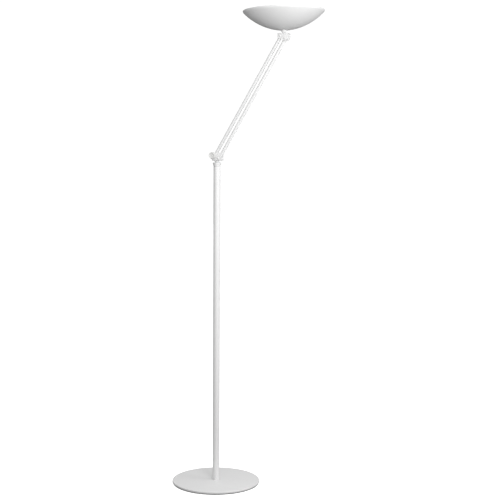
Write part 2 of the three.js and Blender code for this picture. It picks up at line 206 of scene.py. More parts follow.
room = bpy.data.worlds.new("white_room")
room.use_nodes = True
bpy.context.scene.world = room
room_nodes = room.node_tree.nodes
lit_room = room_nodes["Background"]
lit_room.inputs["Color"].default_value = (1, 1, 1, 1)
lit_room.inputs["Strength"].default_value = ROOM_LIGHT
seen_room = room_nodes.new("ShaderNodeBackground")
seen_room.inputs["Color"].default_value = (1, 1, 1, 1)
seen_room.inputs["Strength"].default_value = SEEN_ROOM
room_path = room_nodes.new("ShaderNodeLightPath")
room_mix = room_nodes.new("ShaderNodeMixShader")
room_links = room.node_tree.links
room_links.new(room_path.outputs["Is Camera Ray"], room_mix.inputs[0])
room_links.new(lit_room.outputs[0], room_mix.inputs[1])
room_links.new(seen_room.outputs[0], room_mix.inputs[2])
room_links.new(room_mix.outputs[0], room_nodes["World Output"].inputs["Surface"])


def soft_light(name, across, toward, height, aim_height, size, watts):
    """A square soft box, placed by its distance to the right of and toward the camera."""
    right = Vector((math.cos(VIEW_TURN), math.sin(VIEW_TURN), 0))
    back = Vector((math.sin(VIEW_TURN), -math.cos(VIEW_TURN), 0))
    spot = right * across + back * toward + Vector((0, 0, height))
    data = bpy.data.lights.new(name, "AREA")
    data.energy = watts
    data.size = size
    light = bpy.data.objects.new(name, data)
    aim = Vector((0, 0, aim_height)) - spot
    light.matrix_world = (
        Matrix.Translation(spot) @ aim.to_track_quat("-Z", "Y").to_matrix().to_4x4())
    light.visible_camera = False
    bpy.context.scene.collection.objects.link(light)


soft_light("front_soft_box", 0.45, 1.8, 1.5, 1.4, 1.1, FRONT_WATTS)
soft_light("side_soft_box", 2.2, 0.8, 1.5, 1.7, 1.2, SIDE_WATTS)
soft_light("overhead_soft_box", 0.2, 0.3, 3.4, 0.0, 2.4, TOP_WATTS)

# ------------------------------------------------------------------------------------
# Base pad. A shallow tray of black rubber under the weight, so that the lamp doesn't
# scratch the floor. Its rim shows as a dark line below the cover, and its underside is
# moulded with small raised dots.
MM = 0.001
PAD_RADIUS = 167
PAD_TOP = 2
PAD_RIM_TOP = 3.6
PAD_RIM_WIDTH = 3.5
PAD_UNDERSIDE = 0.5
DOT_REACH = 0.158


def turned(name, profile, segments, place=None, flutes=None):
    """A piece turned about Z from (radius, height) points in millimetres.

    A profile that starts and ends on the axis is closed by the axis, any other one is
    closed on itself. flutes gives a radius for each point and angle instead.
    """
    mesh = bpy.data.meshes.new(name)
    made = bmesh.new()
    rings = []
    for radius, height in profile:
        if radius == 0:
            rings.append([made.verts.new((0, 0, height * MM))])
            continue
        ring = []
        for step in range(segments):
            turn = 2 * math.pi * step / segments
            r = flutes(radius, height, turn) if flutes else radius
            ring.append(made.verts.new((
                r * math.cos(turn) * MM, r * math.sin(turn) * MM, height * MM)))
        rings.append(ring)
    pairs = list(zip(rings, rings[1:]))
    if profile[0][0] != 0:
        pairs.append((rings[-1], rings[0]))
    for low, high in pairs:
        for step in range(segments):
            after = (step + 1) % segments
            if len(low) == 1 and len(high) == 1:
                continue
            if len(low) == 1:
                made.faces.new((low[0], high[after], high[step]))
            elif len(high) == 1:
                made.faces.new((low[step], low[after], high[0]))
            else:
                made.faces.new((low[step], low[after], high[after], high[step]))
    bmesh.ops.recalc_face_normals(made, faces=made.faces)
    made.to_mesh(mesh)
    made.free()
    if place:
        mesh.transform(place)
    return as_piece(name, mesh)


def as_piece(name, mesh, sharp=32):
    """Smooth shading except at real edges, and an object at the origin."""
    mesh.shade_smooth()
    mesh.set_sharp_from_angle(angle=math.radians(sharp))
    piece = bpy.data.objects.new(name, mesh)
    bpy.context.scene.collection.objects.link(piece)
    return piece


def eased(corners, steps=4):
    """(radius, height[, easing]) corners with each marked corner rounded off."""
    points = []
    count = len(corners)
    for i, corner in enumerate(corners):
        here = Vector(corner[:2])
        ease = corner[2] if len(corner) > 2 else 0
        if not ease:
            points.append(tuple(here))
            continue
        before = Vector(corners[(i - 1) % count][:2])
        after = Vector(corners[(i + 1) % count][:2])
        start = here + (before - here).normalized() * ease
        end = here + (after - here).normalized() * ease
        for step in range(steps + 1):
            t = step / steps
            point = start.lerp(here, t).lerp(here.lerp(end, t), t)
            points.append((max(point.x, 0), point.y))
    return points


def joined(name, pieces):
    """Several objects of one body as one piece."""
    made = bmesh.new()
    for piece in pieces:
        made.from_mesh(piece.data)
        bpy.data.objects.remove(piece)
    mesh = bpy.data.meshes.new(name)
    made.to_mesh(mesh)
    made.free()
    return as_piece(name, mesh)


def fit(piece, finish, body, slot, *nodes):
    """Give a finished piece its material, its body and the CAD nodes it stands for."""
    piece.data.materials.clear()
    piece.data.materials.append(finish.material)
    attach(piece, body)
    if nodes:
        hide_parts(*nodes)


def carry(node, finish):
    """Give a CAD node that stays as it is its material."""
    shown = frame["nodes"][node]
    shown.data.materials.clear()
    shown.data.materials.append(finish.material)


class GrownShape:
    """A Geometry Nodes tree with named sizes, whose result becomes a plain mesh."""

    KINDS = {float: "NodeSocketFloat", int: "NodeSocketInt"}

    def __init__(self, name, **sizes):
        self.name = name
        self.sizes = sizes
        self.tree = bpy.data.node_groups.new(name, "GeometryNodeTree")
        for size, value in sizes.items():
            self.tree.interface.new_socket(
                size, in_out="INPUT", socket_type=self.KINDS[type(value)])
        self.tree.interface.new_socket(
            "Geometry", in_out="OUTPUT", socket_type="NodeSocketGeometry")
        self.inputs = self.tree.nodes.new("NodeGroupInput")

    def size(self, name):
        return self.inputs.outputs[name]

    def node(self, kind, settings=None, output=0, **sockets):
        node = self.tree.nodes.new(kind)
        for name, value in (settings or {}).items():
            setattr(node, name, value)
        for name, value in sockets.items():
            socket = node.inputs[name.replace("_", " ")]
            if isinstance(value, bpy.types.NodeSocket):
                self.tree.links.new(value, socket)
            else:
                socket.default_value = value
        return node.outputs[output]

    def grow(self, finish, shape):
        solid = self.node("GeometryNodeRealizeInstances", Geometry=shape)
        painted = self.node("GeometryNodeSetMaterial", Geometry=solid,
                            Material=finish.material)
        out = self.tree.nodes.new("NodeGroupOutput")
        self.tree.links.new(painted, out.inputs[0])
        holder = bpy.data.objects.new(self.name, bpy.data.meshes.new(self.name + "_seed"))
        bpy.context.scene.collection.objects.link(holder)
        modifier = holder.modifiers.new("grow", "NODES")
        modifier.node_group = self.tree
        for item in self.tree.interface.items_tree:
            if item.in_out == "INPUT":
                modifier[item.identifier] = self.sizes[item.name]
        bpy.context.view_layer.update()
        seen = holder.evaluated_get(bpy.context.evaluated_depsgraph_get())
        mesh = bpy.data.meshes.new_from_object(seen)
        mesh.name = self.name
        bpy.data.objects.remove(holder)
        return mesh


dark_rubber = Finish("dark_rubber", Roughness=0.85, Specular_IOR_Level=0.3)
rubber_cloud = dark_rubber.noise(60, 4)
dark_rubber.feed("Base Color", dark_rubber.blend(
    rubber_cloud, (0.012, 0.012, 0.013), (0.030, 0.030, 0.031)))
dark_rubber.bump(dark_rubber.noise(1400, 3), 0.0002, 0.5)

pad_disc = turned("base_pad_disc", eased([
    (0, PAD_UNDERSIDE), (PAD_RADIUS - 1.2, PAD_UNDERSIDE), (PAD_RADIUS, 0.9, 0.4),
    (PAD_RADIUS, PAD_RIM_TOP, 0.4), (PAD_RADIUS - PAD_RIM_WIDTH, PAD_RIM_TOP, 0.4),
    (PAD_RADIUS - PAD_RIM_WIDTH, PAD_TOP), (0, PAD_TOP)]), 200)
dots = GrownShape("base_pad_dots", Spread=0.330, Spacing=0.022, Dot=0.0045, Height=0.0006)
grid = dots.node("GeometryNodeMeshGrid", Size_X=dots.size("Spread"), Size_Y=dots.size("Spread"),
                 Vertices_X=17, Vertices_Y=17)
where = dots.node("GeometryNodeInputPosition")
reach = dots.node("ShaderNodeVectorMath", {"operation": "LENGTH"}, 1, Vector=where)
outside_pad = dots.node("FunctionNodeCompare", {"operation": "GREATER_THAN"}, A=reach,
                        B=DOT_REACH)
inner_grid = dots.node("GeometryNodeDeleteGeometry", Geometry=grid, Selection=outside_pad)
dot = dots.node("GeometryNodeMeshCylinder", Vertices=14, Radius=dots.size("Dot"),
                Depth=dots.size("Height"))
spread_dots = dots.node("GeometryNodeInstanceOnPoints", Points=inner_grid, Instance=dot)
low_dots = dots.node("GeometryNodeTransform", Geometry=spread_dots,
                     Translation=(0, 0, 0.0003))
pad_dots = as_piece("base_pad_dots", dots.grow(dark_rubber, low_dots))
fit(joined("base_pad_moulded", [pad_disc, pad_dots]), dark_rubber, "stand", "dark_rubber",
    "base_pad")

# ------------------------------------------------------------------------------------
# Base weight. A rough iron casting that fills the cover and keeps the lamp upright. It is
# left as it comes from the sand, under a thin coat of black.
cast_iron = Finish("sand_cast_iron", Metallic=0.6)
sand = cast_iron.noise(420, 6, 0.65)
cast_iron.feed("Base Color", cast_iron.blend(sand, (0.030, 0.030, 0.032), (0.085, 0.083, 0.080)))
cast_iron.feed("Roughness", 0.55 + sand * 0.35)
cast_iron.bump(sand, 0.0006, 0.8)
carry("base_weight", cast_iron)

# ------------------------------------------------------------------------------------
# Base cover. Pressed from one sheet of steel: a flat top, a rounded edge and a short
# skirt whose hem is drawn in a little. Powder-coated white, like all that shows.
COVER_RADIUS = 170
COVER_TOP = 12
COVER_RIM = 3.1
COVER_HEM = 1.6
COVER_SHEET = 1.4
COVER_EDGE = 3
COVER_HOLE = 4.3


def powder_coat(name, tone=0.70, seam=False):
    """White powder coat: faint orange peel, a trace of grey in the white, a few specks of
    dust, and a gloss that wanders a little. seam adds a weld line along the back."""
    coat = Finish(name, Specular_IOR_Level=0.5, Coat_Roughness=0.25)
    cloud = coat.noise(9, 3)
    peel = coat.noise(900, 2, 0.4)
    specks = coat.noise(2600, 1)
    white = coat.blend(cloud, (tone, tone, tone), (tone + 0.03, tone + 0.03, tone + 0.03))
    dust = ((specks - 0.70) * 9).clamped()
    coat.feed("Base Color", coat.blend(dust * 0.35, white, (0.42, 0.41, 0.39)))
    coat.feed("Roughness", 0.44 + cloud * 0.12 + peel * 0.05)
    height = peel * 0.7 + specks * 0.3
    if seam:
        x, y, _height = coat.axes()
        behind = (y * 4000).clamped()
        line = (1 - (x * x) * 4.0e6).clamped() * behind
        height = height + line * 1.5
    coat.bump(height, 0.00006, 0.55)
    return coat


white_paint = powder_coat("white_powder_coat")


def cut(piece, cutters, operation="DIFFERENCE"):
    """The piece with each cutter taken away from it or kept in common with it."""
    for cutter in cutters:
        modifier = piece.modifiers.new("cut", "BOOLEAN")
        modifier.operation = operation
        modifier.solver = "EXACT"
        modifier.object = cutter
    bpy.context.view_layer.update()
    seen = piece.evaluated_get(bpy.context.evaluated_depsgraph_get())
    mesh = bpy.data.meshes.new_from_object(seen)
    name = piece.name
    for old in [piece, *cutters]:
        bpy.data.objects.remove(old)
    made = bmesh.new()
    made.from_mesh(mesh)
    bmesh.ops.remove_doubles(made, verts=made.verts, dist=1e-6)
    bmesh.ops.dissolve_degenerate(made, edges=made.edges, dist=1e-6)
    made.to_mesh(mesh)
    made.free()
    return as_piece(name, mesh)


def lying_along_y(x=0.0, z=0.0):
    """Turns a piece made about Z so that its height runs toward +Y, at x, z in metres."""
    return Matrix.Translation((x, 0, z)) @ Matrix.Rotation(math.radians(-90), 4, "X")


skirt = COVER_RADIUS - COVER_SHEET
hem_top = COVER_RIM + 2.2 * COVER_HEM
cover = turned("base_cover_pressed", eased([
    (skirt - COVER_HEM, COVER_RIM, 0.4), (COVER_RADIUS - COVER_HEM, COVER_RIM, 0.5),
    (COVER_RADIUS, hem_top, COVER_HEM), (COVER_RADIUS, COVER_TOP, COVER_EDGE),
    (COVER_HOLE, COVER_TOP), (COVER_HOLE, COVER_TOP - COVER_SHEET),
    (skirt, COVER_TOP - COVER_SHEET, COVER_EDGE - COVER_SHEET),
    (skirt, hem_top, COVER_HEM)], 8), 240)
CORD_HEIGHT = 6.9
CORD_HOLE = 3.5
cord_hole = turned("cord_hole", [
    (0, COVER_RADIUS - 20), (CORD_HOLE, COVER_RADIUS - 20), (CORD_HOLE, COVER_RADIUS + 15),
    (0, COVER_RADIUS + 15)], 40, lying_along_y(0, CORD_HEIGHT * MM))
fit(cut(cover, [cord_hole]), white_paint, "stand", "white_paint", "base_cover")

# ------------------------------------------------------------------------------------
# Cord gland. A soft rubber sleeve pushed through the back of the skirt, with a flange
# against the sheet and two ribs outside it. The cord itself isn't fitted.
GLAND_BACK = 164
gland = turned("cord_gland_moulded", eased([
    (2.2, GLAND_BACK), (3.2, GLAND_BACK, 0.3), (3.2, 170.2), (3.8, 170.3, 0.2),
    (3.8, 171.2, 0.3), (3.2, 171.4), (3.2, 171.8), (3.6, 171.9, 0.1), (3.5, 172.5, 0.2),
    (2.9, 172.7), (2.9, 173.0), (3.3, 173.1, 0.1), (3.1, 174.0, 0.3), (2.2, 174.0)]), 48,
    lying_along_y(0, CORD_HEIGHT * MM))
fit(gland, dark_rubber, "stand", "dark_rubber", "cable_gland")

# ------------------------------------------------------------------------------------
# Base bolt, washer and foot plug. A hexagon bolt, bright zinc plated, comes up through the
# weight and pulls the pole down onto the cover. The plug it screws into is pressed in the
# pole.
zinc = Finish("bright_zinc", Metallic=0.95)
zinc_cloud = zinc.noise(140, 4)
zinc_scratch = zinc.node("TexNoise", Vector=zinc.node(
    "Mapping", Vector=zinc.place, Scale=(900.0, 900.0, 9000.0)), Scale=1.0, Detail=3.0)
zinc.feed("Base Color", zinc.blend(zinc_cloud, (0.50, 0.51, 0.53), (0.66, 0.66, 0.66)))
zinc.feed("Roughness", 0.24 + zinc_cloud * 0.16)
zinc.bump(zinc_scratch, 0.00003, 0.4)
for hidden_steel in ("base_bolt", "base_washer", "pole_foot_plug"):
    carry(hidden_steel, zinc)

# ------------------------------------------------------------------------------------
# Pole. One length of welded steel tube, 26 mm across, powder-coated. The weld bead was
# rolled down and shows only as a faint raised line along the back.
POLE_RADIUS = 13
POLE_BORE = 11.5
POLE_FOOT = 12.3
POLE_TOP = 1235
pole_paint = powder_coat("white_powder_coat_pole", seam=True)
pole_heights = [POLE_FOOT + (POLE_TOP - POLE_FOOT) * step / 24 for step in range(25)]
outside_wall = [(POLE_RADIUS, height) for height in pole_heights[1:-1]]
pole = turned("pole_welded_tube", eased([
    (POLE_BORE, POLE_FOOT), (POLE_RADIUS, POLE_FOOT, 0.4), *outside_wall,
    (POLE_RADIUS, POLE_TOP, 0.4), (POLE_BORE, POLE_TOP)]), 96)
fit(pole, pole_paint, "stand", "white_paint", "pole_tube")

# ------------------------------------------------------------------------------------
# Collar. Turned from bar, it plugs the top of the pole and flares out to a flat seat for
# the swivel. A fine groove marks where it meets the tube.
COLLAR_TOP = 1250
COLLAR_RADIUS = 16
collar = turned("pole_collar_turned", eased([
    (7.5, POLE_TOP - 25), (11.2, POLE_TOP - 25, 0.6), (11.2, POLE_TOP + 0.3),
    (12.5, POLE_TOP + 0.3), (12.95, POLE_TOP + 0.7, 0.2), (13.2, POLE_TOP + 2.2, 1.0),
    (15.7, COLLAR_TOP - 3.4, 2.0), (COLLAR_RADIUS, COLLAR_TOP - 2.2, 0.8),
    (COLLAR_RADIUS - 0.2, COLLAR_TOP, 1.2), (7.5, COLLAR_TOP)]), 96)
fit(collar, white_paint, "stand", "white_paint", "pole_collar")

# ------------------------------------------------------------------------------------
# Swivel bush. A flanged nylon sleeve pushed into the collar, so that the head turns
# without metal rubbing on metal. Only the edge of its flange shows.
nylon = Finish("natural_nylon", Roughness=0.5, Subsurface_Weight=0.15)
nylon_cloud = nylon.noise(70, 3)
nylon.feed("Base Color", nylon.blend(nylon_cloud, (0.72, 0.72, 0.69), (0.80, 0.80, 0.78)))
nylon.bump(nylon.noise(1600, 2), 0.00005, 0.4)
bush = turned("swivel_bush_flanged", eased([
    (5.8, POLE_TOP - 24), (7.2, POLE_TOP - 24, 0.3), (7.2, COLLAR_TOP + 0.3),
    (9.1, COLLAR_TOP + 0.3, 0.2), (9.1, COLLAR_TOP + 1.4, 0.3), (5.8, COLLAR_TOP + 1.4)]), 64)
fit(bush, nylon, "stand", "natural_nylon", "swivel_bush")

# ------------------------------------------------------------------------------------
# Swivel spindle, washer and nut. The hollow spindle carries the elbow bracket on a
# shoulder, with its top end spread over inside the bracket, and the nut holds it in the
# pole. Shoulder and bracket are painted together.
pins = {joint["name"]: Vector(joint["pos_m"]) for joint in frame["joints"]}
elbow_rear = pins["elbow"]
elbow_front = pins["front_link"]
elbow_middle = (elbow_rear + elbow_front) / 2
YOKE_DROP = 15.7
SHEET = 2.0
yoke_floor = elbow_middle.z / MM - YOKE_DROP
spindle = turned("swivel_spindle_turned", eased([
    (2.6, POLE_TOP - 38), (5.5, POLE_TOP - 38, 0.6), (5.5, COLLAR_TOP + 1.7),
    (8.5, COLLAR_TOP + 1.7, 0.5), (8.5, yoke_floor - 0.3, 0.4), (5, yoke_floor - 0.3),
    (5, yoke_floor + SHEET + 0.3), (7, yoke_floor + SHEET + 0.3, 0.2),
    (6.3, yoke_floor + SHEET + 1.3, 0.6), (3.4, yoke_floor + SHEET + 1.3, 0.4),
    (2.6, yoke_floor + SHEET + 0.7)]), 72)
fit(spindle, white_paint, "head", "white_paint", "swivel_spindle")
for hidden_steel in ("swivel_washer", "swivel_nut"):
    carry(hidden_steel, zinc)

# ------------------------------------------------------------------------------------
# Elbow bracket. A blank of 2 mm steel folded into a channel: a floor on the spindle and
# two cheeks with rounded corners that hold the lower ends of both arm tubes.
HALF_WIDTH = 13
FOLD_RADIUS = 3.2
YOKE_RISE = 15
SCREW_HOLE = 3.2
RIVET_HOLE = 2.8
OUTLINE_SHIFT = 1000.0  # eased() keeps its first number positive, as a radius is


def shifted(corners):
    return [(corner[0] + OUTLINE_SHIFT, *corner[1:]) for corner in corners]


def prism(name, corners, low, high, turn=None):
    """A flat outline in XZ with eased corners, in millimetres, from y = low to y = high."""
    outline = [(x - OUTLINE_SHIFT, z) for x, z in eased(shifted(corners), 8)]
    mesh = bpy.data.meshes.new(name)
    made = bmesh.new()
    near = [made.verts.new((x * MM, low * MM, z * MM)) for x, z in outline]
    far = [made.verts.new((x * MM, high * MM, z * MM)) for x, z in outline]
    made.faces.new(near)
    made.faces.new(list(reversed(far)))
    for i in range(len(outline)):
        j = (i + 1) % len(outline)
        made.faces.new((near[i], far[i], far[j], near[j]))
    bmesh.ops.recalc_face_normals(made, faces=made.faces)
    made.to_mesh(mesh)
    made.free()
    if turn:
        mesh.transform(turn)
    return as_piece(name, mesh)


def folded_channel(name, outline, floor, open_end, holes):
    """A channel with its floor (or roof) at height floor, its ends cut to the outline of
    its cheeks, and drilled. holes lists x, z and radius."""
    up = 1 if open_end > floor else -1
    w = HALF_WIDTH
    sideways = Matrix.Rotation(math.radians(-90), 4, "Z")
    back = min(corner[0] for corner in outline) - 10
    front = max(corner[0] for corner in outline) + 10
    body = prism(name, [
        (-w, floor, FOLD_RADIUS), (w, floor, FOLD_RADIUS), (w, open_end), (-w, open_end)],
        back, front, sideways)
    hollow = prism("hollow", [
        (SHEET - w, floor + up * SHEET, FOLD_RADIUS - SHEET + 0.3),
        (w - SHEET, floor + up * SHEET, FOLD_RADIUS - SHEET + 0.3),
        (w - SHEET, open_end + up * 6), (SHEET - w, open_end + up * 6)],
        back - 6, front + 6, sideways)
    body = cut(body, [hollow])
    body = cut(body, [prism("outline", outline, -24, 24)], "INTERSECT")
    drills = [turned("drill", [(0, -30), (radius, -30), (radius, 30), (0, 30)], 48,
                     lying_along_y(x * MM, z * MM)) for x, z, radius in holes]
    return cut(body, drills)


def broken_edges(piece, width=0.35):
    """The cut edges of sheet metal, rounded by tumbling and paint."""
    modifier = piece.modifiers.new("broken edges", "BEVEL")
    modifier.width = width * MM
    modifier.segments = 3
    modifier.limit_method = "ANGLE"
    modifier.angle_limit = math.radians(50)
    bpy.context.view_layer.update()
    seen = piece.evaluated_get(bpy.context.evaluated_depsgraph_get())
    mesh = bpy.data.meshes.new_from_object(seen)
    name = piece.name
    bpy.data.objects.remove(piece)
    return as_piece(name, mesh)


cheek_top = elbow_middle.z / MM + YOKE_RISE
yoke = folded_channel("elbow_yoke_folded", [
    (-17, yoke_floor, 8), (22, yoke_floor, 3), (22, cheek_top, 5), (-17, cheek_top, 5)],
    yoke_floor, cheek_top + 10,
    [(elbow_rear.x / MM, elbow_rear.z / MM, SCREW_HOLE),
     (elbow_front.x / MM, elbow_front.z / MM, RIVET_HOLE)])
spindle_hole = turned("spindle_hole", [
    (0, yoke_floor - 5), (5.3, yoke_floor - 5), (5.3, yoke_floor + 5), (0, yoke_floor + 5)], 48)
fit(broken_edges(cut(yoke, [spindle_hole])), white_paint, "head", "white_paint", "elbow_yoke")

# ------------------------------------------------------------------------------------
# Rivets. Steel pins with low round heads, closed cold over the cheeks and painted with
# them: one at the front of the elbow and two at the wrist. The tube ends turn on them.
RIVET_RADIUS = 2.5
rivet_face = HALF_WIDTH + 0.3
half_head = [(5.0, rivet_face, 0.25), (4.4, rivet_face + 1.2, 0.7),
             (2.2, rivet_face + 2.15, 0.9), (0.9, rivet_face + 2.3, 0.3), (0, rivet_face + 2.1)]
other_head = [(radius, -height, *ease) for radius, height, *ease in reversed(half_head)]
rivet_pattern = turned("rivet_pattern", eased([
    *other_head, (RIVET_RADIUS, -rivet_face), (RIVET_RADIUS, rivet_face), *half_head]), 48)


def rivets(name, first, second=None):
    """One or two rivets of one body, set along Y at the given points."""
    second = second or first
    shape = GrownShape(name, Count=2 if second != first else 1)
    line = shape.node("GeometryNodeMeshLine", {"mode": "END_POINTS"},
                      Count=shape.size("Count"), Start_Location=first, Offset=second)
    pattern = shape.node("GeometryNodeObjectInfo", output="Geometry", Object=rivet_pattern)
    aim = (math.radians(-90), 0, 0)
    set_out = shape.node("GeometryNodeInstanceOnPoints", Points=line, Instance=pattern,
                         Rotation=aim)
    return as_piece(name, shape.grow(white_paint, set_out))


fit(rivets("elbow_rivet_set", elbow_front), white_paint, "head", "white_paint", "elbow_rivet")

# ------------------------------------------------------------------------------------
# Clamp screw, washer and friction discs. A round-headed machine screw passes through both
# cheeks and the rear tube's end. Its tail carries a plated washer and the knob, which
# pinches the cheeks onto a nylon disc each side of the tube's end.
screw = turned("clamp_screw_head", eased([
    (0, -29), (2.4, -29, 0.4), (2.9, -28.3, 0.2), (2.9, 13.3), (6.4, 13.3, 0.3),
    (6.1, 15.0, 0.9), (3.6, 16.5, 1.0), (1.9, 16.7), (1.7, 15.2), (0, 15.2)]), 48,
    lying_along_y(elbow_rear.x, elbow_rear.z))
fit(screw, white_paint, "head", "white_paint", "clamp_screw")
washer = turned("clamp_washer_plate", eased([
    (SCREW_HOLE, -14.7, 0.2), (7.5, -14.7, 0.3), (7.5, -13.3, 0.3),
    (SCREW_HOLE, -13.3, 0.2)]), 56,
    lying_along_y(elbow_rear.x, elbow_rear.z))
fit(washer, zinc, "head", "zinc_steel", "clamp_washer")
for side, discs in ((-1, "friction_disc_front"), (1, "friction_disc_back")):
    disc = turned(discs + "_ring", eased([
        (SCREW_HOLE, side * 8.5), (6.2, side * 8.5, 0.2), (6.2, side * 10.7, 0.2),
        (SCREW_HOLE, side * 10.7)]), 48, lying_along_y(elbow_rear.x, elbow_rear.z))
    fit(disc, nylon, "head", "natural_nylon", discs)

# ------------------------------------------------------------------------------------
# Clamp knob. A round moulded grip with a fluted edge, a raised rim round its face and a
# small button in the middle, over a tapped brass insert.
KNOB_RADIUS = 12.7
KNOB_FLUTES = 20
FLUTE_DEPTH = 0.75


def knob_edge(radius, height, turn):
    """The flutes, which run out before they reach either face of the knob."""
    if radius < KNOB_RADIUS - 0.6 or not -34.6 < height < -20.6:
        return radius
    wave = 0.5 + 0.5 * math.cos(KNOB_FLUTES * turn)
    return radius - FLUTE_DEPTH * wave ** 3


gloss_white = Finish("moulded_white", Specular_IOR_Level=0.5)
moulded_cloud = gloss_white.noise(40, 3)
gloss_white.feed("Base Color", gloss_white.blend(
    moulded_cloud, (0.62, 0.62, 0.61), (0.68, 0.68, 0.67)))
gloss_white.feed("Roughness", 0.28 + moulded_cloud * 0.14)
gloss_white.bump(gloss_white.noise(2200, 2), 0.00003, 0.35)
knob = turned("clamp_knob_moulded", eased([
    (0, -34.6), (3.6, -34.6, 0.5), (3.9, -34.0, 0.2), (4.5, -34.0, 0.3), (8.6, -34.9, 0.8),
    (9.6, -36, 0.6), (11.6, -36, 0.9), (KNOB_RADIUS, -34.4, 0.9), (KNOB_RADIUS, -32),
    (KNOB_RADIUS, -28), (KNOB_RADIUS, -24), (KNOB_RADIUS, -21.6, 0.6), (11.3, -20.4, 0.6),
    (8.8, -19.6, 0.8), (8.2, -15.2, 0.4),
    (6.1, -15.2), (6.1, -30.3), (0, -30.3)]), 160,
    lying_along_y(elbow_rear.x, elbow_rear.z), knob_edge)
fit(knob, gloss_white, "knob", "white_plastic", "clamp_knob")
brass = Finish("turned_brass", Metallic=0.95)
brass_cloud = brass.noise(160, 3)
brass.feed("Base Color", brass.blend(brass_cloud, (0.60, 0.42, 0.16), (0.74, 0.55, 0.25)))
brass.feed("Roughness", 0.26 + brass_cloud * 0.15)
carry("knob_insert", brass)

# ------------------------------------------------------------------------------------
# Arm. Two lengths of 12.5 mm steel tube, pin to pin the same length, that stay parallel
# as they swing. Each end is a cross barrel with a short neck, let into the tube and
# brazed, then painted with it.
TUBE_RADIUS = 6.25
TUBE_BORE = 5.0
TUBE_START = 9.3  # from the middle of the pin to the cut end of the tube
SCREWED_BARREL = 8.2  # half widths
RIVETED_BARREL = 10.6
wrist_rear = pins["wrist"]
arm_vector = wrist_rear - elbow_rear
ARM_LENGTH = arm_vector.length / MM
arm_lean = math.atan2(arm_vector.x, arm_vector.z)


def arm_tube(name, foot):
    heights = [TUBE_START + (ARM_LENGTH - 2 * TUBE_START) * step / 12 for step in range(13)]
    wall = [(TUBE_RADIUS, height) for height in heights[1:-1]]
    return turned(name, eased([
        (TUBE_BORE, heights[0]), (TUBE_RADIUS, heights[0], 0.35), *wall,
        (TUBE_RADIUS, heights[-1], 0.35), (TUBE_BORE, heights[-1])]), 64,
        Matrix.Translation(foot) @ Matrix.Rotation(arm_lean, 4, "Y"))


def arm_end(name, foot, half_width, pin, top):
    """Cross barrel, neck and spigot, drawn for the lower end of a tube."""
    flip = Matrix.Translation((0, 0, ARM_LENGTH * MM)) @ Matrix.Rotation(math.pi, 4, "X")
    place = Matrix.Translation(foot) @ Matrix.Rotation(arm_lean, 4, "Y")
    if top:
        place = place @ flip
    barrel = turned(name, eased([
        (0, -half_width), (TUBE_RADIUS, -half_width, 0.5), (TUBE_RADIUS, half_width, 0.5),
        (0, half_width)]), 64, lying_along_y())
    neck = turned("neck", eased([
        (0, 0), (TUBE_RADIUS - 0.02, 0), (TUBE_RADIUS - 0.02, 9, 0.35), (TUBE_BORE - 0.3, 9),
        (TUBE_BORE - 0.3, 26, 0.6), (0, 26)]), 64)
    barrel = cut(barrel, [neck], "UNION")
    hole = turned("hole", [(0, -20), (pin, -20), (pin, 20), (0, 20)], 40, lying_along_y())
    end = cut(barrel, [hole])
    end.data.transform(place)
    return end


for arm, foot, lower_width, lower_pin in (
        ("rear", elbow_rear, SCREWED_BARREL, SCREW_HOLE),
        ("front", elbow_front, RIVETED_BARREL, RIVET_HOLE)):
    body = arm + "_arm"
    fit(arm_tube(arm + "_tube_drawn", foot), white_paint, body, "white_paint", arm + "_tube")
    fit(arm_end(arm + "_low_barrel", foot, lower_width, lower_pin, False), white_paint, body,
        "white_paint", arm + "_tube_low_end")
    fit(arm_end(arm + "_top_barrel", foot, RIVETED_BARREL, RIVET_HOLE, True), white_paint,
        body, "white_paint", arm + "_tube_top_end")

# ------------------------------------------------------------------------------------
# Wrist bracket. Folded like the elbow bracket but upside down, its cheeks cut on a slant
# to follow the two pins. The dish's stem is let into its roof.
wrist_front = wrist_rear + elbow_front - elbow_rear
wrist_middle = (wrist_rear + wrist_front) / 2
wx = wrist_middle.x / MM
wz = wrist_middle.z / MM
ROOF_RISE = 13.9
STEM_OFFSET = 2
STEM_FOOT_HOLE = 4.3
roof = wz + ROOF_RISE
stem_x = wx + STEM_OFFSET
bracket = folded_channel("wrist_bracket_folded", [
    (wx - 20, roof, 3), (wx - 20, wz - 3, 5), (wx + 7, wz - 14, 3), (wx + 15, wz - 14, 4.5),
    (wx + 22.7, wz - 6, 5), (wx + 22.7, roof, 3)], roof, wz - 25,
    [(pin.x / MM, pin.z / MM, RIVET_HOLE) for pin in (wrist_rear, wrist_front)])
stem_hole = turned("stem_hole", [
    (0, roof - 6), (STEM_FOOT_HOLE, roof - 6), (STEM_FOOT_HOLE, roof + 6), (0, roof + 6)],
    48, Matrix.Translation((stem_x * MM, 0, 0)))
fit(broken_edges(cut(bracket, [stem_hole])), white_paint, "lamp", "white_paint",
    "wrist_bracket")
fit(rivets("wrist_rivet_pair", wrist_rear, wrist_front), white_paint, "lamp", "white_paint",
    "wrist_rivet_rear", "wrist_rivet_front")

